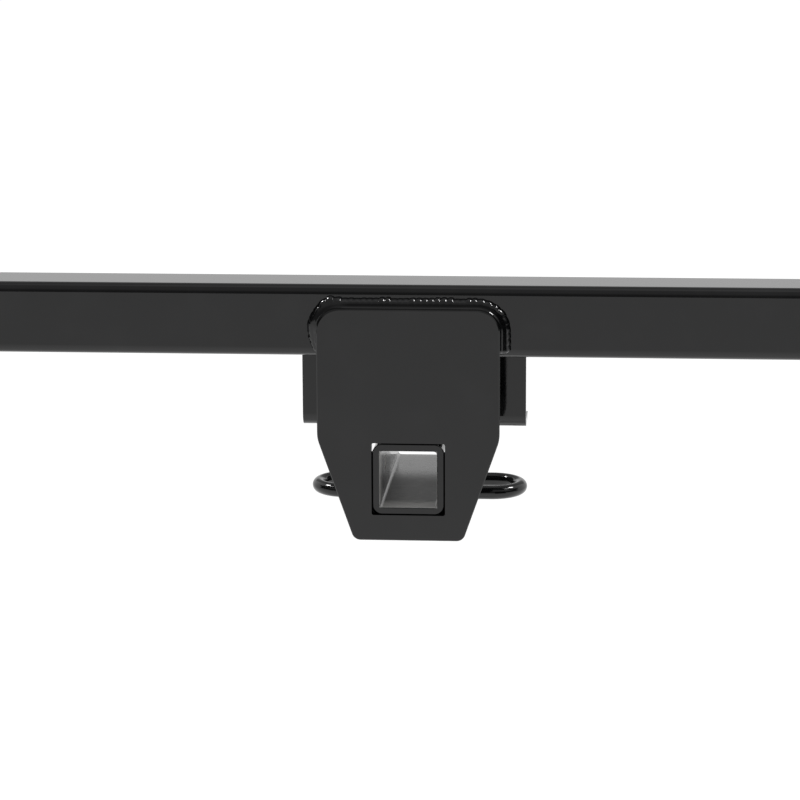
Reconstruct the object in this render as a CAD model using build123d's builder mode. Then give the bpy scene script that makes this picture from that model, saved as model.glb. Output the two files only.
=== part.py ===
from build123d import *
import os
from math import sqrt

# Trailer hitch receiver, in millimetres. The origin is the centre of the hitch pin hole, on the
# receiver tube's axis. X runs along the crossbar, Y from the tube's mouth towards the vehicle, Z up.

# Receiver tube
socket_width = 50.8
socket_corner = 3.0
tube_wall = 6.35
tube_corner = 8.5
tube_length = 212.0
tube_edge = 0.8
pin_hole = 16.5
pin_setback = 63.5

# Crossbar
bar_width = 63.5
bar_wall = 4.75
bar_corner = 8.0
bar_length = 965.0
bar_rise = 139.7

# Front plate: how far it laps the crossbar, and its lip below the tube
plate_width = 161.0
plate_thickness = 9.5
plate_lap = 43.5
plate_lip = 23.8
plate_corner = 20.0
plate_edge = 0.8
shoulder_rise = 36.0
shoulder_bend = 30.0
foot_width = 96.5
foot_corner = 8.0
hole_clearance = 0.8
hole_corner = 2.0

# Drop channel behind the crossbar
channel_length = 202.0
channel_depth = 45.0
channel_thickness = 6.35
channel_bend = 11.0
channel_lap = 41.0

# Chain loop: one round bar bent to a long oval
loop_bar = 12.7
loop_width = 200.0
loop_depth = 53.0
loop_setback = 77.0

# Mounting brackets and their gussets
bracket_thickness = 6.35
bracket_length = 230.0
bracket_bend = 11.0
bracket_margin = 8.0
bracket_corner = 15.0
flange_width = 76.0
flange_rise = 25.4
flange_corner = 12.0
arm_height = 80.0
arm_taper = 55.0
heel_length = 15.0
bolt_hole = 14.0
bolt_spacing = 120.0
bolt_margin = 28.5
gusset_leg = 80.0
gusset_toe = 12.0
gusset_thickness = 6.35

# Weld beads. In a valley beside a round, a bead reaches from the root to the fill share of its radius.
plate_bead = 8.0
plate_crown = 1.2
tube_bead = 7.0
channel_bead = 5.5
bracket_bead = 6.0
gusset_bead = 5.0
bead_crown = 0.7
valley_root = 0.35
valley_fill = 0.9

tube_width = socket_width + 2 * tube_wall
tube_half = tube_width / 2
tube_flat = tube_width - 2 * tube_corner
mouth_y = -pin_setback
bar_front = mouth_y + plate_thickness
bar_half = bar_width / 2
bar_rear = bar_front + bar_width
bar_bottom = bar_rise - bar_half
bar_top = bar_rise + bar_half
bar_end = bar_length / 2
plate_top = bar_bottom + plate_lap
plate_foot = -tube_half - plate_lip
channel_top = bar_bottom + channel_lap
channel_back = bar_rear + channel_depth
loop_radius = loop_depth / 2
loop_drop = tube_half + loop_bar / 2
bracket_front = bar_front - bracket_margin
bracket_back = bracket_front + bracket_length
bracket_top = bar_top + flange_rise

os.makedirs("parts", exist_ok=True)


def bead_plane(origin, across, up):
    # Section plane of a bead: x runs along its first face, y along its second or out of its valley.
    return Plane(origin=origin, x_dir=across, z_dir=Vector(*across).cross(Vector(*up)))


def corner_section(section_plane, leg_across, leg_up, crown):
    # Bead in a square corner, with a crowned face from toe to toe.
    slope = sqrt(leg_across**2 + leg_up**2)
    crown_x = leg_across / 2 + crown * leg_up / slope
    crown_y = leg_up / 2 + crown * leg_across / slope
    with BuildSketch(section_plane) as section:
        with BuildLine():
            Polyline((leg_across, 0), (0, 0), (0, leg_up))
            ThreePointArc((0, leg_up), (crown_x, crown_y), (leg_across, 0))
        make_face()
    return section.sketch


def flat_section(section_plane, leg):
    # Bead in a square corner, with a flat face from toe to toe, for a bead that turns round a tube.
    with BuildSketch(section_plane) as section:
        with BuildLine():
            Polyline((0, 0), (leg, 0), (0, leg), close=True)
        make_face()
    return section.sketch


def valley_section(section_plane, round_radius):
    # Bead in the valley between a flat face and a round that touches it at the section's origin.
    low = valley_root * round_radius
    high = valley_fill * round_radius
    middle = (low + high) / 2
    low_gap, middle_gap, high_gap = [
        round_radius - sqrt(round_radius**2 - height**2) for height in (low, middle, high)
    ]
    with BuildSketch(section_plane) as section:
        with BuildLine():
            Polyline((low_gap, low), (0, low), (0, high))
            ThreePointArc((0, high), (high_gap / 2, high + bead_crown), (high_gap, high))
            ThreePointArc((high_gap, high), (middle_gap, middle), (low_gap, low))
        make_face()
    return section.sketch


# Crossbar: square tube with rounded corners, open at both ends where the brackets close it.
bar_plane = Plane(origin=(0, bar_front + bar_half, bar_rise), x_dir=(0, 1, 0), z_dir=(1, 0, 0))
with BuildPart() as crossbar:
    with BuildSketch(bar_plane):
        RectangleRounded(bar_width, bar_width, bar_corner)
        bore = bar_width - 2 * bar_wall
        RectangleRounded(bore, bore, bar_corner - bar_wall, mode=Mode.SUBTRACT)
    extrude(amount=bar_end, both=True)
crossbar.part.label = "crossbar"
export_step(crossbar.part, "parts/crossbar.step")

# Receiver tube: the socket for a ball mount's shank, eased at its mouth, with a cross hole for the
# hitch pin.
with BuildPart() as receiver_tube:
    with BuildSketch(Plane.XZ.offset(-mouth_y)):
        RectangleRounded(tube_width, tube_width, tube_corner)
        RectangleRounded(socket_width, socket_width, socket_corner, mode=Mode.SUBTRACT)
    extrude(amount=-tube_length)
    chamfer(receiver_tube.edges().group_by(Axis.Y)[0], tube_edge)
    with Locations(Plane.YZ.offset(tube_half)):
        Hole(radius=pin_hole / 2)
receiver_tube.part.label = "receiver_tube"
export_step(receiver_tube.part, "parts/receiver_tube.step")

# Front plate: tapered below its shoulders, with a square hole that the tube's mouth fills.
with BuildPart() as front_plate:
    with BuildSketch(Plane.XZ.offset(-bar_front)) as plate_outline:
        with BuildLine():
            Polyline(
                (-foot_width / 2, plate_foot),
                (foot_width / 2, plate_foot),
                (plate_width / 2, shoulder_rise),
                (plate_width / 2, plate_top),
                (-plate_width / 2, plate_top),
                (-plate_width / 2, shoulder_rise),
                close=True,
            )
        make_face()
        fillet(plate_outline.vertices().group_by(Axis.Y)[0], foot_corner)
        fillet(plate_outline.vertices().group_by(Axis.Y)[-1], plate_corner)
        fillet(
            plate_outline.vertices().filter_by_position(Axis.Y, shoulder_rise - 0.01, shoulder_rise + 0.01),
            shoulder_bend,
        )
        hole_width = tube_width + 2 * hole_clearance
        RectangleRounded(hole_width, hole_width, hole_corner, mode=Mode.SUBTRACT)
    extrude(amount=plate_thickness)
    chamfer(front_plate.faces().sort_by(Axis.Y)[0].outer_wire().edges(), plate_edge)
front_plate.part.label = "front_plate"
export_step(front_plate.part, "parts/front_plate.step")

# Drop channel: bent plate with its web on the crossbar's rear face and a flange on the tube.
channel_mid = channel_thickness / 2
with BuildPart() as drop_channel:
    with BuildSketch(Plane.YZ):
        with BuildLine():
            FilletPolyline(
                (channel_back, tube_half + channel_mid),
                (bar_rear + channel_mid, tube_half + channel_mid),
                (bar_rear + channel_mid, channel_top - channel_mid),
                (channel_back, channel_top - channel_mid),
                radius=channel_bend - channel_mid,
            )
        trace(line_width=channel_thickness)
    extrude(amount=channel_length / 2, both=True)
drop_channel.part.label = "drop_channel"
export_step(drop_channel.part, "parts/drop_channel.step")

# Chain loop: round bar in a closed oval that passes under the tube and touches it at two crossings.
loop_turn = loop_width / 2 - loop_bar / 2 - loop_radius
loop_front = loop_setback - loop_radius
loop_back = loop_setback + loop_radius
with BuildPart() as chain_loop:
    with BuildLine(Plane.XY.offset(-loop_drop)) as oval:
        Line((-loop_turn, loop_front), (loop_turn, loop_front))
        ThreePointArc(
            (loop_turn, loop_front), (loop_turn + loop_radius, loop_setback), (loop_turn, loop_back)
        )
        Line((loop_turn, loop_back), (-loop_turn, loop_back))
        ThreePointArc(
            (-loop_turn, loop_back), (-loop_turn - loop_radius, loop_setback), (-loop_turn, loop_front)
        )
    with BuildSketch(Plane(origin=(-loop_turn, loop_front, -loop_drop), z_dir=(1, 0, 0))):
        Circle(loop_bar / 2)
    sweep(path=oval.wire())
chain_loop.part.label = "chain_loop"
export_step(chain_loop.part, "parts/chain_loop.step")

# Bead over the plate's top and down both its sides, on the crossbar's flat front face.
bead_start = bar_bottom + bar_corner / 2
plate_side = plate_width / 2
with BuildPart() as plate_weld:
    with BuildLine(Plane.XZ.offset(-bar_front)) as plate_path:
        FilletPolyline(
            (-plate_side, bead_start),
            (-plate_side, plate_top),
            (plate_side, plate_top),
            (plate_side, bead_start),
            radius=plate_corner,
        )
    plate_section = bead_plane((-plate_side, bar_front, bead_start), (-1, 0, 0), (0, -1, 0))
    sweep(corner_section(plate_section, plate_bead, plate_bead, plate_crown), path=plate_path.wire())
plate_weld.part.label = "plate_weld"
export_step(plate_weld.part, "parts/plate_weld.step")

# Bead behind the plate, down both sides of the tube and across under it.
bead_end = tube_half - tube_corner
with BuildPart() as tube_weld_lower:
    with BuildLine(Plane.XZ.offset(-bar_front)) as tube_path:
        FilletPolyline(
            (-tube_half, bead_end),
            (-tube_half, -tube_half),
            (tube_half, -tube_half),
            (tube_half, bead_end),
            radius=tube_corner,
        )
    tube_section = bead_plane((-tube_half, bar_front, bead_end), (-1, 0, 0), (0, 1, 0))
    sweep(flat_section(tube_section, tube_bead), path=tube_path.wire())
tube_weld_lower.part.label = "tube_weld_lower"
export_step(tube_weld_lower.part, "parts/tube_weld_lower.step")

# Straight beads in square corners: section plane, legs and length.
flange_edge = min(channel_bead, channel_thickness)
corner_beads = {
    "tube_weld_upper": (
        bead_plane((0, bar_front, tube_half), (0, 0, 1), (0, 1, 0)),
        (tube_bead, tube_bead),
        tube_flat,
    ),
    "channel_tube_weld_rear": (
        bead_plane((0, channel_back, tube_half), (0, 1, 0), (0, 0, 1)),
        (channel_bead, flange_edge),
        tube_flat,
    ),
}
for name, (section_plane, legs, length) in corner_beads.items():
    with BuildPart() as corner_bead:
        extrude(corner_section(section_plane, *legs, bead_crown), amount=length / 2, both=True)
    corner_bead.part.label = name
    export_step(corner_bead.part, f"parts/{name}.step")

# Straight beads in the valleys beside rounds: section plane, the round's radius and length.
side_run = channel_back - bar_rear - channel_bend
side_middle = channel_back - side_run / 2
valley_beads = {
    "plate_weld_under": (
        bead_plane((0, bar_front, bar_bottom + bar_corner), (0, 1, 0), (0, 0, -1)),
        bar_corner,
        plate_width,
    ),
    "channel_weld_top": (
        bead_plane((0, bar_rear, channel_top - channel_bend), (0, 1, 0), (0, 0, 1)),
        channel_bend,
        channel_length,
    ),
    "channel_weld_under": (
        bead_plane((0, bar_rear, bar_bottom + bar_corner), (0, -1, 0), (0, 0, -1)),
        bar_corner,
        channel_length,
    ),
    "channel_tube_weld_front": (
        bead_plane((0, bar_rear + channel_bend, tube_half), (0, 0, 1), (0, -1, 0)),
        channel_bend,
        tube_flat,
    ),
    "channel_tube_weld_left": (
        bead_plane((tube_corner - tube_half, side_middle, tube_half), (0, 0, -1), (-1, 0, 0)),
        tube_corner,
        side_run,
    ),
    "channel_tube_weld_right": (
        bead_plane((tube_half - tube_corner, side_middle, tube_half), (0, 0, -1), (1, 0, 0)),
        tube_corner,
        side_run,
    ),
    "loop_weld_front_outer": (
        bead_plane((0, loop_front, -tube_half), (0, 0, -1), (0, -1, 0)),
        loop_bar / 2,
        tube_flat,
    ),
    "loop_weld_front_inner": (
        bead_plane((0, loop_front, -tube_half), (0, 0, -1), (0, 1, 0)),
        loop_bar / 2,
        tube_flat,
    ),
    "loop_weld_back_inner": (
        bead_plane((0, loop_back, -tube_half), (0, 0, -1), (0, -1, 0)),
        loop_bar / 2,
        tube_flat,
    ),
    "loop_weld_back_outer": (
        bead_plane((0, loop_back, -tube_half), (0, 0, -1), (0, 1, 0)),
        loop_bar / 2,
        tube_flat,
    ),
}
for name, (section_plane, round_radius, length) in valley_beads.items():
    with BuildPart() as valley_bead:
        extrude(valley_section(section_plane, round_radius), amount=length / 2, both=True)
    valley_bead.part.label = name
    export_step(valley_bead.part, f"parts/{name}.step")

# Each end: a bent bracket that closes the crossbar, a corner gusset behind it, and their beads.
web_mid = bracket_thickness / 2
web_low = bar_bottom - bracket_margin
arm_low = bracket_top - arm_height
heel_back = bar_rear + heel_length
bolt_x = bar_end + (bracket_bend + flange_width) / 2
bolt_y = bracket_back - bolt_margin - bolt_spacing / 2
gusset_top = bar_rise + gusset_thickness / 2
gusset_run = gusset_leg - 2 * gusset_toe
gusset_middle = gusset_leg / 2
for side, sign in (("left", -1), ("right", 1)):
    inner_face = sign * bar_end
    with BuildPart() as mounting_bracket:
        with BuildSketch(Plane.XZ.offset(-bracket_front)):
            with BuildLine():
                FilletPolyline(
                    (sign * (bar_end + web_mid), web_low),
                    (sign * (bar_end + web_mid), bracket_top - web_mid),
                    (sign * (bar_end + flange_width), bracket_top - web_mid),
                    radius=bracket_bend - web_mid,
                )
            trace(line_width=bracket_thickness)
        extrude(amount=-bracket_length)
        with BuildSketch(Plane.YZ.offset(inner_face)) as web_outline:
            with BuildLine():
                Polyline(
                    (bracket_front, web_low),
                    (heel_back, web_low),
                    (heel_back + arm_taper, arm_low),
                    (bracket_back, arm_low),
                    (bracket_back, bracket_top),
                    (bracket_front, bracket_top),
                    close=True,
                )
            make_face()
            low_corners = web_outline.vertices().filter_by_position(Axis.Y, web_low - 1, arm_low + 1)
            fillet(low_corners, bracket_corner)
        extrude(amount=sign * flange_width, mode=Mode.INTERSECT)
        flange_tip = mounting_bracket.faces().sort_by(Axis.X)[-1 if sign > 0 else 0]
        fillet(flange_tip.edges().filter_by(Axis.Z), flange_corner)
        with Locations(Plane.XY.offset(bracket_top)):
            with Locations((sign * bolt_x, bolt_y)):
                with GridLocations(0, bolt_spacing, 1, 2):
                    Hole(radius=bolt_hole / 2)
    mounting_bracket.part.label = f"mounting_bracket_{side}"
    export_step(mounting_bracket.part, f"parts/mounting_bracket_{side}.step")

    with BuildPart() as bracket_gusset:
        with BuildSketch(Plane.XY.offset(bar_rise)):
            with BuildLine():
                Polyline(
                    (inner_face - sign * gusset_toe, bar_rear),
                    (inner_face - sign * gusset_leg, bar_rear),
                    (inner_face - sign * gusset_leg, bar_rear + gusset_toe),
                    (inner_face - sign * gusset_toe, bar_rear + gusset_leg),
                    (inner_face, bar_rear + gusset_leg),
                    (inner_face, bar_rear + gusset_toe),
                    close=True,
                )
            make_face()
        extrude(amount=gusset_thickness / 2, both=True)
    bracket_gusset.part.label = f"bracket_gusset_{side}"
    export_step(bracket_gusset.part, f"parts/bracket_gusset_{side}.step")

    with BuildPart() as bracket_weld:
        with BuildLine(bar_plane.offset(inner_face)) as bar_outline:
            for rim in (bar_half, -bar_half):
                FilletPolyline((-rim, 0), (-rim, rim), (rim, rim), (rim, 0), radius=bar_corner)
        ring_section = bead_plane((inner_face, bar_front, bar_rise), (0, -1, 0), (-sign, 0, 0))
        sweep(flat_section(ring_section, bracket_bead), path=bar_outline.wire())
    bracket_weld.part.label = f"bracket_weld_{side}"
    export_step(bracket_weld.part, f"parts/bracket_weld_{side}.step")

    gusset_beads = {
        "bar": bead_plane(
            (inner_face - sign * gusset_middle, bar_rear, gusset_top), (0, 0, 1), (0, 1, 0)
        ),
        "bracket": bead_plane(
            (inner_face, bar_rear + gusset_middle, gusset_top), (0, 0, 1), (-sign, 0, 0)
        ),
    }
    for seat, section_plane in gusset_beads.items():
        with BuildPart() as gusset_weld:
            extrude(
                corner_section(section_plane, gusset_bead, gusset_bead, bead_crown),
                amount=gusset_run / 2,
                both=True,
            )
        gusset_weld.part.label = f"gusset_weld_{side}_{seat}"
        export_step(gusset_weld.part, f"parts/gusset_weld_{side}_{seat}.step")
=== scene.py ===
import math
import random

import bmesh
import bpy
from mathutils import Matrix, Vector


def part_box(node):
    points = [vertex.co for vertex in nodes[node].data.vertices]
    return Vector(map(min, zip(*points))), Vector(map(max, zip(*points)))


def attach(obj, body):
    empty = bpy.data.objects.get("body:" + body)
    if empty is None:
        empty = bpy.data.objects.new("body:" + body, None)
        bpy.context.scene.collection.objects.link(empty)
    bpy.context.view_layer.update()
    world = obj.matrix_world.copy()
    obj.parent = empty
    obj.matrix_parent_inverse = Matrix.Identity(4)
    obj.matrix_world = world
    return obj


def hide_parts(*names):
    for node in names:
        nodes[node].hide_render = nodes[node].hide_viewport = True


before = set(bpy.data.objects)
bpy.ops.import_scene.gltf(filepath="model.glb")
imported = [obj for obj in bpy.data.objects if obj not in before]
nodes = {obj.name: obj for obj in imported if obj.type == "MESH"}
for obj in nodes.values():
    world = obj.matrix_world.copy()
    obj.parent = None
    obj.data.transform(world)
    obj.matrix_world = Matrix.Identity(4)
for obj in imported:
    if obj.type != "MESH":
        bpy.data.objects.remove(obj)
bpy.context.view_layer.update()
quarter = math.pi / 2
print("frame loaded with", len(nodes), "pieces")


# one output of a shader node, and arithmetic on it adds Math nodes
class Wire:
    def __init__(self, graph, node, output):
        self.graph = graph
        self.node = node
        self.socket = node.outputs[output] if node.outputs else None

    def other(self, output):  # another output of the same node
        return Wire(self.graph, self.node, output)

    def maths(self, operation, first, second=0.0):
        return self.graph.add("ShaderNodeMath", {"operation": operation}, {0: first, 1: second})

    def __add__(self, other):
        return self.maths("ADD", self, other)

    def __radd__(self, other):
        return self.maths("ADD", other, self)

    def __sub__(self, other):
        return self.maths("SUBTRACT", self, other)

    def __rsub__(self, other):
        return self.maths("SUBTRACT", other, self)

    def __mul__(self, other):
        return self.maths("MULTIPLY", self, other)

    def __rmul__(self, other):
        return self.maths("MULTIPLY", other, self)

    def __abs__(self):
        return self.maths("ABSOLUTE", self)

    def root(self):
        return self.maths("SQRT", self)

    def greater(self, other):  # the larger of two values
        return self.maths("MAXIMUM", self, other)

    def lesser(self, other):
        return self.maths("MINIMUM", self, other)

    def ramp(self, start, end):  # 0 before start, 1 after end, smooth between
        return self.graph.add(
            "ShaderNodeMapRange",
            {"interpolation_type": "SMOOTHSTEP"},
            {"Value": self, "From Min": start, "From Max": end},
        )


class Graph:
    def __init__(self, owner):
        owner.use_nodes = True
        self.tree = owner.node_tree
        self.tree.nodes.clear()

    def add(self, kind, settings=None, values=None, output=0):
        made = self.tree.nodes.new(kind)
        for key, value in (settings or {}).items():
            setattr(made, key, value)
        for key, value in (values or {}).items():
            if isinstance(value, Wire):
                self.tree.links.new(value.socket, made.inputs[key])
            else:
                made.inputs[key].default_value = value
        return Wire(self, made, output)

    def mix(self, share, first, second):  # colours
        return self.add("ShaderNodeMix", {"data_type": "RGBA"}, {0: share, 6: first, 7: second}, 2)

    def noise(self, place, scale, detail, rough=0.5):
        values = {"Vector": place, "Scale": scale, "Detail": detail, "Roughness": rough}
        return self.add("ShaderNodeTexNoise", {}, values)

    def surface(self, values):
        shader = self.add("ShaderNodeBsdfPrincipled", {}, values)
        self.add("ShaderNodeOutputMaterial", {}, {"Surface": shader})


blackCoat = {
    "colour": (0.0045, 0.0046, 0.0050, 1.0),
    "dustColour": (0.016, 0.016, 0.017, 1.0),
    "dustShare": 0.35,
    "dustRange": (0.45, 0.8),  # where in the mottle the dust starts and is full
    "mottleScale": 28.0, "mottleDetail": 3.0,
    "roughness": 0.07, "roughSpread": 0.05,
    "peelScale": 620.0, "peelDetail": 1.0,  # orange peel, about 1.6 mm from hill to hill
    "peelHeight": 0.000004,
    "ior": 1.5,
}


def coatLayer(graph, place, coat):  # colour, roughness and orange peel
    mottle = graph.noise(place, coat["mottleScale"], coat["mottleDetail"])
    peel = graph.noise(place, coat["peelScale"], coat["peelDetail"])
    dust = mottle.ramp(*coat["dustRange"]) * coat["dustShare"]
    colour = graph.mix(dust, coat["colour"], coat["dustColour"])
    return colour, coat["roughness"] + (mottle - 0.5) * coat["roughSpread"], peel


def sprayCoat(name, coat):
    material = bpy.data.materials.new(name)
    graph = Graph(material)
    place = graph.add("ShaderNodeTexCoord", output=3)
    colour, roughness, peel = coatLayer(graph, place, coat)
    relief = {"Strength": 1.0, "Distance": coat["peelHeight"], "Height": peel}
    bump = graph.add("ShaderNodeBump", {}, relief)
    graph.surface({
        "Base Color": colour,
        "Roughness": roughness,
        "Normal": bump,
        "IOR": coat["ior"],
    })
    return material


coatFinish = sprayCoat("gloss_black_coat", blackCoat)
weldFinish = sprayCoat("coated_weld", {**blackCoat, "roughness": 0.09, "peelScale": 900.0})

# the receiver tube is coated outside, with bare walls in its socket and its pin hole
tubeWalls = {
    "socketEdge": (0.02555, 0.0256),  # from the axis, the walls are at 25.4 mm
    "pinEdge": (0.0083, 0.0084),
    "colour": (0.16, 0.158, 0.154, 1.0),
    "darkColour": (0.075, 0.074, 0.072, 1.0),
    "scaleSize": 110.0, "scaleDetail": 5.0, "scaleRough": 0.6,  # mill scale
    "scaleRange": (0.35, 0.65), "scaleHeight": 0.00002,
    "roughness": 0.42, "roughSpread": 0.15, "leastRoughness": 0.12,
    "sideRoughness": 0.18, "sideBlend": 0.001,  # the side walls are smoother by this much
    "sprayRoughness": 0.16,  # where the spray reached in from the back
    "sprayRange": (0.035, 0.095), "sprayDrift": 0.03,
    "mouthFront": -0.0635,
    "mouthLightColour": (0.58, 0.575, 0.56, 1.0),  # painted light: the walls are painted lighter near the mouth, where light from the front reaches in
    "mouthLightShare": 0.8,
    "mouthLightRange": (0.0155, 0.031), "mouthLightDrift": 0.008,  # how far in
    "cornerColour": (0.34, 0.336, 0.33, 1.0),  # the four rounded corners inside are painted lighter, a painted highlight for the white they mirror from the back, and they are smoother
    "cornerHighlightShare": 0.9,
    "cornerRange": (0.0228, 0.0236),
    "cornerRoughness": 0.16,
    "pinBareAndLitColour": (0.6, 0.595, 0.58, 1.0),  # the pin hole is drilled through the finish to bare steel, and is painted lighter still to lift the shade inside the bore
}


def tubeCoat(name, coat, walls):
    material = bpy.data.materials.new(name)
    graph = Graph(material)
    place = graph.add("ShaderNodeTexCoord", output=3)
    axes = graph.add("ShaderNodeSeparateXYZ", {}, {"Vector": place})
    along, up = axes.other(1), axes.other(2)
    aside, above = abs(axes), abs(up)
    socket = 1 - aside.greater(above).ramp(*walls["socketEdge"])
    pinWall = 1 - (along * along + up * up).root().ramp(*walls["pinEdge"])
    bare = socket.greater(pinWall)
    scale = graph.noise(place, walls["scaleSize"], walls["scaleDetail"], walls["scaleRough"])
    stray = scale - 0.5
    depth = along + stray * walls["mouthLightDrift"] - walls["mouthFront"]
    mouthLight = 1 - depth.ramp(*walls["mouthLightRange"])
    corner = aside.lesser(above).ramp(*walls["cornerRange"])
    wallColour = graph.mix(scale.ramp(*walls["scaleRange"]), walls["darkColour"], walls["colour"])
    # painted light: lighter towards the mouth, fading over the first few centimetres
    wallColour = graph.mix(mouthLight * walls["mouthLightShare"], wallColour, walls["mouthLightColour"])
    # painted highlight: the rounded corners inside are mixed lighter
    wallColour = graph.mix(corner * walls["cornerHighlightShare"], wallColour, walls["cornerColour"])
    # partly bare steel, partly painted light: the pin hole's wall is lighter to lift its shade
    wallColour = graph.mix(pinWall, wallColour, walls["pinBareAndLitColour"])
    sprayed = (along + stray * walls["sprayDrift"]).ramp(*walls["sprayRange"])
    sideways = (aside - above).ramp(-walls["sideBlend"], walls["sideBlend"])
    wallRough = walls["roughness"] + (walls["sprayRoughness"] - walls["roughness"]) * sprayed
    wallRough = wallRough + stray * walls["roughSpread"] - sideways * walls["sideRoughness"]
    wallRough = (wallRough - corner * walls["cornerRoughness"]).greater(walls["leastRoughness"])
    coatColour, coatRough, peel = coatLayer(graph, place, coat)
    height = peel * (1 - bare) * coat["peelHeight"] + scale * bare * walls["scaleHeight"]
    bump = graph.add("ShaderNodeBump", {}, {"Strength": 1.0, "Distance": 1.0, "Height": height})
    graph.surface({
        "Base Color": graph.mix(bare, coatColour, wallColour),
        "Roughness": coatRough + (wallRough - coatRough) * bare,
        "Normal": bump,
        "IOR": coat["ior"],
    })
    return material


tubeFinish = tubeCoat("gloss_black_tube", blackCoat, tubeWalls)
for name, node in nodes.items():
    node.data.materials.clear()
    node.data.materials.append(tubeFinish if name == "receiver_tube" else coatFinish)
print("finishes sprayed")


def addPiece(name, mesh, material):
    data = bpy.data.meshes.new(name)
    mesh.to_mesh(data)
    mesh.free()
    data.materials.append(material)
    piece = bpy.data.objects.new(name, data)
    bpy.context.scene.collection.objects.link(piece)
    return piece


rippleShape = {
    "lean": 1.7,  # above 1, the side of a ripple that was laid last is the steeper one
    "crown": 0.6, "scallop": 0.5,  # below 1, rounder than a parabola
}


def ripple(crests, distance):  # lift, and how far the toes spread, in the ripple at this distance
    index = max(0, sum(1 for crest in crests if crest[0] <= distance) - 1)
    index = min(index, len(crests) - 2)
    start, lift, spread = crests[index]
    phase = min(1.0, max(0.0, (distance - start) / (crests[index + 1][0] - start)))
    late = phase ** rippleShape["lean"]
    lift *= (4 * late * (1 - late)) ** rippleShape["crown"]
    spread *= (4 * phase * (1 - phase)) ** rippleShape["scallop"]
    return lift, spread


def layCrests(bead, length):  # where each ripple starts, its lift and its spread
    chance = random.Random(bead["seed"])
    crests, place = [], -bead["pitch"]
    while place < length + 3 * bead["pitch"]:
        quiet = any(first <= place < last for first, last in bead["quietRuns"])
        strength = bead["quietLift"] if quiet else 1
        lift = chance.uniform(*bead["lifts"]) * strength
        spread = chance.uniform(*bead["spreads"]) * strength
        crests.append((place, lift, spread))
        place += bead["pitch"] * chance.uniform(*bead["pitchSpread"])
    return crests


def beadSize(bead, distance, length):  # 1 along the bead, less at its ends
    nearEnd = min(1.0, min(distance, length - distance) / bead["taper"])
    size = max(bead["endSize"], math.sqrt(1 - (1 - nearEnd) ** 2))
    early = max(0.0, 1 - distance / bead["slimLength"])
    return size * (1 - bead["slimStart"] * early ** bead["slimCurve"])


def beadSwell(bead, crests, distance, share):  # how far the surface stands out of the plain sweep
    edge = abs(2 * share - 1)
    lift, spread = ripple(crests, distance + bead["lag"] * (1 - edge * edge))
    scallop = bead["toeSwell"] * (1.0 if share > 0.5 else bead["firstToe"])
    rippled = max(0.0, (share - bead["ripplesFrom"]) / (1 - bead["ripplesFrom"]))
    swell = bead["swell"] * lift * math.sin(math.pi * rippled) + scallop * spread * edge * edge
    for spot, extra, run, centre, width in bead["thickSpots"]:
        extra *= math.exp(-((distance - spot) / run) ** 4)
        swell += extra * math.exp(-((share - centre) / width) ** 2)
    return swell


def beadCap(mesh, share, bead, origin, across, up):  # the section at the start, as a face
    corners = [mesh.verts.new(origin + across * a + up * b) for a, b in bead["section"]]
    outline = corners[1:]
    steps = [(ahead.co - here.co).length for here, ahead in zip(outline, outline[1:])]
    for index, vert in enumerate(outline):
        vert[share] = sum(steps[:index]) / sum(steps)
    outline[-1][share] = 1.0
    corners[0][share] = -1.0
    cap = mesh.faces.new(corners)
    if len(corners) > 3:
        return cap
    # a plain corner bead gets its crown here
    root, toe, otherToe = [vert.co.copy() for vert in corners]
    chord = otherToe - toe
    bulge = toe + otherToe - 2 * root
    bulge = (bulge - chord * bulge.dot(chord) / chord.length_squared).normalized()
    crownEdge = next(edge for edge in cap.edges if corners[0] not in edge.verts)
    bmesh.ops.subdivide_edges(mesh, edges=[crownEdge], cuts=bead["cuts"])
    cap = mesh.faces[:][0]
    for vert in cap.verts:
        if vert[share] >= 0:
            vert.co += bulge * bead["crown"] * 4 * vert[share] * (1 - vert[share])
    return cap


def sweepCap(mesh, cap, bead, origin, across, up, moves):  # rings, and how far along each lies
    forward = across.cross(up)
    caps, rings, travelled = [cap], [cap.verts[:]], [0.0]
    for length, radius in moves:  # a radius of 0 runs straight on
        count = max(2, round(length / bead["pitch"] * bead["stations"]))
        for _ in range(count):
            if radius:
                centre = origin - across * radius
                turn = Matrix.Rotation(-length / radius / count, 4, up)
                move = Matrix.Translation(centre) @ turn @ Matrix.Translation(-centre)
            else:
                move = Matrix.Translation(forward * (length / count))
            made = bmesh.ops.extrude_face_region(mesh, geom=[cap])["geom"]
            cap = next(item for item in made if isinstance(item, bmesh.types.BMFace))
            bmesh.ops.transform(mesh, matrix=move, verts=cap.verts[:])
            origin = move @ origin
            across, forward = move.to_3x3() @ across, move.to_3x3() @ forward
            caps.append(cap)
            rings.append(cap.verts[:])
            travelled.append(travelled[-1] + length / count)
    bmesh.ops.delete(mesh, geom=caps[1:-1], context="FACES_ONLY")
    return rings, travelled


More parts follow.
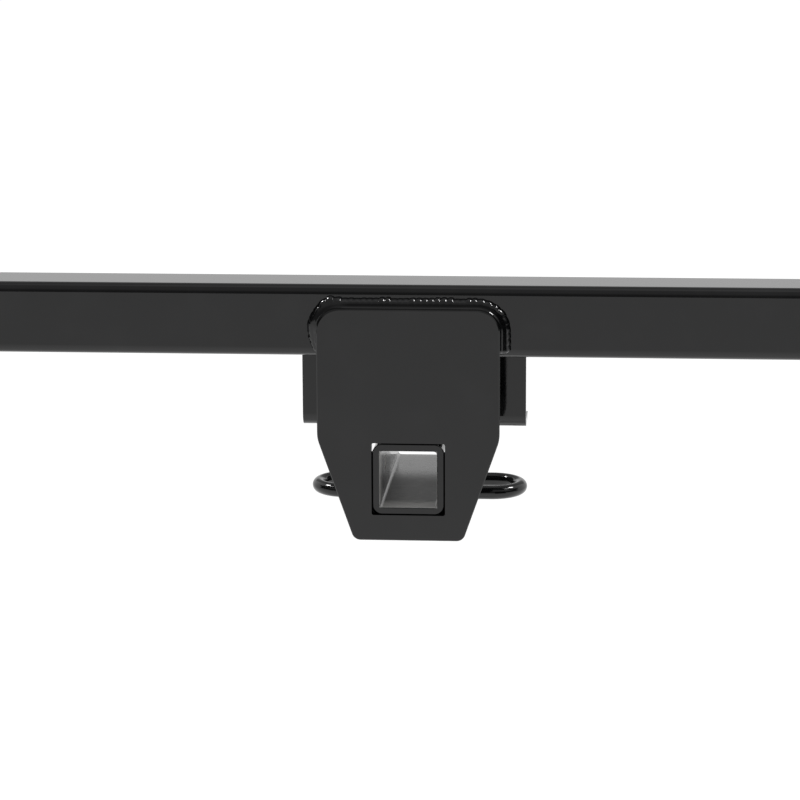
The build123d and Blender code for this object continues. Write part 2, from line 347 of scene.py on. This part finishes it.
def layBead(name, bead, start, across, up, moves):
    origin, across, up = Vector(start), Vector(across), Vector(up)
    mesh = bmesh.new()
    share = mesh.verts.layers.float.new("share")  # 0 to 1 from toe to toe, -1 at the root
    cap = beadCap(mesh, share, bead, origin, across, up)
    rings, travelled = sweepCap(mesh, cap, bead, origin, across, up, moves)
    crests = layCrests(bead, travelled[-1])
    for ring, distance in zip(rings, travelled):
        root = next(vert for vert in ring if vert[share] < 0).co.copy()
        size = beadSize(bead, distance, travelled[-1])
        for vert in ring:
            if vert[share] < 0:
                continue
            reach = vert.co - root
            swell = beadSwell(bead, crests, distance, vert[share])
            vert.co = root + reach * size + reach.normalized() * swell * size
    for face in mesh.faces:
        face.smooth = True
    for edge in mesh.edges:  # the toes stay sharp
        ends = [vert[share] for vert in edge.verts]
        edge.smooth = not (ends[0] == ends[1] and ends[0] in (0.0, 1.0))
    mesh.verts.layers.float.remove(share)
    bmesh.ops.recalc_face_normals(mesh, faces=mesh.faces[:])
    piece = addPiece(name, mesh, weldFinish)
    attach(piece, "root")
    return piece


def threeSides(rise, span, corner):
    bend = (quarter * corner, corner)
    return [(rise, 0), bend, (span, 0), bend, (rise, 0)]


barLow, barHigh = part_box("crossbar")
plateLow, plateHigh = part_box("front_plate")
tubeLow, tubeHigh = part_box("receiver_tube")

evenBead = {
    "lifts": (0.6, 1.15), "spreads": (0.5, 1.2), "pitchSpread": (0.9, 1.1),
    "ripplesFrom": 0.0, "quietRuns": (), "quietLift": 1.0, "thickSpots": (),
    "endSize": 0.12, "slimStart": 0.0, "slimLength": 1.0, "slimCurve": 1.5,
}

# round the top and both sides of the front plate
plateBead = {
    **evenBead,
    "section": (  # height above the plate's edge, distance out from the bar; the root comes first
        (-0.0003, -0.0003), (-0.0002, 0.0088), (0.0004, 0.0084), (0.0010, 0.0083), (0.0016, 0.0082),
        (0.0018, 0.0079), (0.0020, 0.0076), (0.0022, 0.0073), (0.0034, 0.0070), (0.0046, 0.0068),
        (0.0056, 0.0066), (0.0063, 0.0061), (0.0069, 0.0054), (0.0075, 0.0046), (0.0080, 0.0037),
        (0.0084, 0.0028), (0.0087, 0.0018), (0.0089, 0.0008), (0.0091, -0.0002),
    ),
    "corner": 0.02,
    "pitch": 0.0054, "stations": 14,  # from ripple to ripple, and rings in each
    "lag": 0.0012,  # a ripple's middle lies this far behind its toes
    "lifts": (0.8, 1.2), "swell": 0.0008,
    "toeSwell": 0.0014, "firstToe": 0.0,  # only the toe on the bar is scalloped
    "ripplesFrom": 0.46,  # the part beside the plate has none
    "quietLift": 0.45,
    "quietRuns": (  # where along the bead the ripples are low
        (0.012, 0.0415), (0.052, 0.085), (0.094, 0.111), (0.147, 0.160), (0.192, 0.3),
    ),
    "thickSpots": (  # place along, how much, how far each way, then place across and how far
        (0.040, 0.0009, 0.016, 0.25, 0.2),
        (0.0425, 0.002, 0.0055, 1.0, 0.35),
        (0.034, -0.0006, 0.018, 0.12, 0.06),
    ),
    "slimStart": 0.7, "slimLength": 0.025,  # thinner by this much at the start, over this length
    "taper": 0.004, "seed": 35908,
}
beadLow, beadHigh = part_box("plate_weld")
rise = plateHigh.z - plateBead["corner"] - beadLow.z
span = plateHigh.x - plateLow.x - 2 * plateBead["corner"]
bead = layBead(
    "plate_weld_bead", plateBead, (plateLow.x, barLow.y, beadLow.z), (-1, 0, 0), (0, -1, 0),
    threeSides(rise, span, plateBead["corner"]),
)
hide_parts("plate_weld")

# round the underside of the receiver tube, behind the plate
tubeBead = {
    **evenBead,
    "section": ((-0.0003, -0.0003), (-0.0002, 0.007), (0.007, -0.0002)),
    "crown": 0.0012, "cuts": 7, "corner": 0.0085,
    "pitch": 0.0048, "stations": 7, "lag": 0.0016,
    "swell": 0.0005, "toeSwell": 0.0005, "firstToe": 1.0, "taper": 0.004, "seed": 9,
}
beadLow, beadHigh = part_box("tube_weld_lower")
rise = beadHigh.z - tubeLow.z - tubeBead["corner"]
span = tubeHigh.x - tubeLow.x - 2 * tubeBead["corner"]
bead = layBead(
    "tube_weld_lower_bead", tubeBead, (tubeLow.x, barLow.y, beadHigh.z), (-1, 0, 0), (0, 1, 0),
    threeSides(rise, span, tubeBead["corner"]),
)
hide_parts("tube_weld_lower")

# all the way round each end of the crossbar
barBead = {
    **evenBead,
    "section": ((-0.0003, -0.0003), (-0.0002, 0.006), (0.006, -0.0002)),
    "crown": 0.001, "cuts": 6, "corner": 0.008, "overlap": 0.006,
    "pitch": 0.0046, "stations": 6, "lag": 0.0015,
    "swell": 0.00045, "toeSwell": 0.0005, "firstToe": 1.0, "taper": 0.004, "seed": 21,
}
barSide = barHigh.z - barLow.z - 2 * barBead["corner"]
bend = (quarter * barBead["corner"], barBead["corner"])
for name, sign in (("left", -1), ("right", 1)):
    moves = [(barSide / 2, 0)] + [bend, (barSide, 0)] * 3
    moves += [bend, (barSide / 2 + barBead["overlap"], 0)]
    start = (sign * barHigh.x, barLow.y, (barLow.z + barHigh.z) / 2)
    bead = layBead(f"bracket_weld_{name}_bead", barBead, start, (0, -1, 0), (-sign, 0, 0), moves)
    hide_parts(f"bracket_weld_{name}")

straightBead = {
    **evenBead,
    "crown": 0.0007, "cuts": 6, "sunk": 0.0002,
    "pitch": 0.0046, "stations": 6, "lag": 0.0015,
    "swell": 0.0004, "toeSwell": 0.0004, "firstToe": 1.0, "taper": 0.003,
}
# which way the bead's first face runs, and its second or the way out of its valley
straightPlaces = {
    "tube_weld_upper": ("corner", (0, 0, 1), (0, 1, 0)),
    "channel_tube_weld_rear": ("corner", (0, 1, 0), (0, 0, 1)),
    "gusset_weld_left_bar": ("corner", (0, 0, 1), (0, 1, 0)),
    "gusset_weld_right_bar": ("corner", (0, 0, 1), (0, 1, 0)),
    "gusset_weld_left_bracket": ("corner", (0, 0, 1), (1, 0, 0)),
    "gusset_weld_right_bracket": ("corner", (0, 0, 1), (-1, 0, 0)),
    "plate_weld_under": ("valley", (0, 1, 0), (0, 0, -1)),
    "channel_weld_top": ("valley", (0, 1, 0), (0, 0, 1)),
    "channel_weld_under": ("valley", (0, -1, 0), (0, 0, -1)),
    "channel_tube_weld_front": ("valley", (0, 0, 1), (0, -1, 0)),
    "channel_tube_weld_left": ("valley", (0, 0, -1), (-1, 0, 0)),
    "channel_tube_weld_right": ("valley", (0, 0, -1), (1, 0, 0)),
    "loop_weld_front_outer": ("valley", (0, 0, -1), (0, -1, 0)),
    "loop_weld_front_inner": ("valley", (0, 0, -1), (0, 1, 0)),
    "loop_weld_back_inner": ("valley", (0, 0, -1), (0, -1, 0)),
    "loop_weld_back_outer": ("valley", (0, 0, -1), (0, 1, 0)),
}
for seed, (name, (kind, across, up)) in enumerate(straightPlaces.items()):
    low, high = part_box(name)
    across, up = Vector(across), Vector(up)
    forward = across.cross(up)
    facing = across + up + forward
    start = Vector(low[i] if facing[i] > 0 else high[i] for i in range(3))
    wide = abs((high - low).dot(across))
    tall = abs((high - low).dot(up))
    sunk = straightBead["sunk"]
    if kind == "corner":
        section = ((-sunk, -sunk), (-sunk, tall), (wide, -sunk))
    else:
        tall -= straightBead["crown"]
        section = ((sunk, 0), (-sunk, tall), (wide + sunk, tall))
    bead = layBead(
        name + "_bead", {**straightBead, "section": section, "seed": seed}, start, across, up,
        [(abs((high - low).dot(forward)), 0)],
    )
    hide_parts(name)
print("weld beads laid")


floorPlan = {
    "height": -0.6, "size": 60.0, "colour": (0.8, 0.8, 0.8, 1.0),
    "nearGlow": 0.36, "farGlow": 0.69, "glowRange": (0.6, 4.5),  # shadows show where it glows less
    "mirrorGlow": 0.45,
}


def paleFloor(plan):
    material = bpy.data.materials.new("pale_floor")
    graph = Graph(material)
    place = graph.add("ShaderNodeTexCoord", output=3)
    away = graph.add("ShaderNodeVectorMath", {"operation": "LENGTH"}, {0: place}, 1)
    glow = plan["nearGlow"] + (plan["farGlow"] - plan["nearGlow"]) * away.ramp(*plan["glowRange"])
    rays = graph.add("ShaderNodeLightPath")
    seen = rays.greater(rays.other("Is Transmission Ray")) * glow
    mirrored = rays.other("Is Glossy Ray") * plan["mirrorGlow"]
    paint = graph.add("ShaderNodeBsdfDiffuse", {}, {"Color": plan["colour"]})
    shine = graph.add("ShaderNodeEmission", {}, {"Strength": seen.greater(mirrored)})
    both = graph.add("ShaderNodeAddShader", {}, {0: paint, 1: shine})
    graph.add("ShaderNodeOutputMaterial", {}, {"Surface": both})
    return material


mesh = bmesh.new()
bmesh.ops.create_grid(mesh, x_segments=1, y_segments=1, size=floorPlan["size"] / 2)
bmesh.ops.translate(mesh, verts=mesh.verts[:], vec=(0, 0, floorPlan["height"]))
floor = addPiece("floor", mesh, paleFloor(floorPlan))

# a black card in front to the right, seen in reflections only
card = {
    "place": (1.31, -2.09), "turn": 0.56, "width": 1.6, "height": 1.5, "foot": 0.13,
    "colour": (0.01, 0.01, 0.01, 1.0),
}
cardPaint = bpy.data.materials.new("black_card")
graph = Graph(cardPaint)
paint = graph.add("ShaderNodeBsdfDiffuse", {}, {"Color": card["colour"]})
graph.add("ShaderNodeOutputMaterial", {}, {"Surface": paint})
mesh = bmesh.new()
bmesh.ops.create_grid(mesh, x_segments=1, y_segments=1, size=0.5)
bmesh.ops.scale(mesh, verts=mesh.verts[:], vec=(card["width"], card["height"], 1))
upright = Matrix.Rotation(card["turn"], 4, "Z") @ Matrix.Rotation(quarter, 4, "X")
middle = (*card["place"], floorPlan["height"] + card["foot"] + card["height"] / 2)
bmesh.ops.transform(mesh, matrix=Matrix.Translation(middle) @ upright, verts=mesh.verts[:])
blackCard = addPiece("black_card", mesh, cardPaint)
for seenBy in ("camera", "diffuse", "shadow", "transmission", "volume_scatter"):
    setattr(blackCard, "visible_" + seenBy, False)

# the studio's walls as the gloss mirrors them, each range in parts of a direction of length 1
studio = {
    "behind": (-0.2, 0.3),
    "back": 0.36, "backFoot": 0.64, "backRange": (0.22, 0.32),
    "front": 0.16, "frontTop": 0.26, "frontRange": (0.2, 0.65),
    "ceiling": 0.3, "ceilingRange": (0.94, 0.995),
    "leftward": (0.72, 0.9),
    "left": 0.03, "leftFoot": 0.97, "leftRange": (0.0, 0.1),
    "rightward": (0.4, 0.7),
    "right": 0.06, "rightTop": 0.6, "rightRange": (0.25, 0.45),
    "flanks": 1.0, "flankRange": (0.4, 0.6), "flankBehind": (0.0, 0.2),
    "gloss": 0.87,  # how much of the walls is mirrored
    "light": 0.42,  # on everything that isn't a mirror
}
world = bpy.data.worlds.new("studio")
bpy.context.scene.world = world
graph = Graph(world)
way = graph.add("ShaderNodeTexCoord", output=0)
side = graph.add("ShaderNodeSeparateXYZ", {}, {"Vector": way})
depth, height = side.other(1), side.other(2)
behind = depth.ramp(*studio["behind"])
backWall = studio["back"] + studio["backFoot"] * (1 - height.ramp(*studio["backRange"]))
frontWall = studio["front"] + studio["frontTop"] * height.ramp(*studio["frontRange"])
ceiling = studio["ceiling"] * height.ramp(*studio["ceilingRange"])
leftward, rightward = (0 - side).ramp(*studio["leftward"]), side.ramp(*studio["rightward"])
leftWall = studio["left"] + studio["leftFoot"] * (1 - height.ramp(*studio["leftRange"]))
rightWall = studio["right"] + studio["rightTop"] * height.ramp(*studio["rightRange"])
walls = (backWall * behind + frontWall * (1 - behind) + ceiling) * (1 - leftward - rightward)
walls = walls + leftWall * leftward + rightWall * rightward
flanks = abs(side).ramp(*studio["flankRange"]) * depth.ramp(*studio["flankBehind"])
walls = walls + (studio["flanks"] - walls) * flanks
seen = graph.add("ShaderNodeLightPath")  # the camera sees white
glossy = seen.other("Is Glossy Ray")
unseen = walls * glossy * studio["gloss"] + (1 - glossy) * studio["light"]
strength = seen + (1 - seen) * unseen
shade = graph.add("ShaderNodeBackground", {}, {"Color": (1, 1, 1, 1), "Strength": strength})
graph.add("ShaderNodeOutputWorld", {}, {"Surface": shade})

lamps = {  # place, what it aims at, width, height, watts
    "lampLeft": ((-1.7, 0.5, 2.2), (0, 0, 0.1), 0.5, 0.5, 32.0),
    "lampRight": ((1.7, 0.5, 2.2), (0, 0, 0.1), 0.5, 0.5, 32.0),
}
for name, (place, aim, width, height, watts) in lamps.items():
    light = bpy.data.lights.new(name, "AREA")
    light.shape = "RECTANGLE"
    light.size, light.size_y, light.energy = width, height, watts
    lamp = bpy.data.objects.new(name, light)
    aimed = (Vector(aim) - Vector(place)).to_track_quat("-Z", "Y").to_matrix().to_4x4()
    lamp.matrix_world = Matrix.Translation(place) @ aimed
    lamp.visible_camera = False
    bpy.context.scene.collection.objects.link(lamp)

shot = {
    "place": (0.1958, -2.6141, 0.6075), "tilt": 0.2064, "turn": 0.0793, "roll": -0.0046,
    "focalPixels": 2979.3, "imagePixels": 800.0, "sensor": 36.0,
}
cameraData = bpy.data.cameras.new("camera")
cameraData.sensor_width = shot["sensor"]
cameraData.lens = shot["focalPixels"] / shot["imagePixels"] * shot["sensor"]
camera = bpy.data.objects.new("camera", cameraData)
turned = Matrix.Rotation(shot["turn"], 4, "Z") @ Matrix.Rotation(quarter - shot["tilt"], 4, "X")
camera.matrix_world = (
    Matrix.Translation(shot["place"]) @ turned @ Matrix.Rotation(shot["roll"], 4, "Z")
)
bpy.context.scene.collection.objects.link(camera)
bpy.context.scene.camera = camera
bpy.context.scene.view_settings.view_transform = "Standard"
print("stage set")
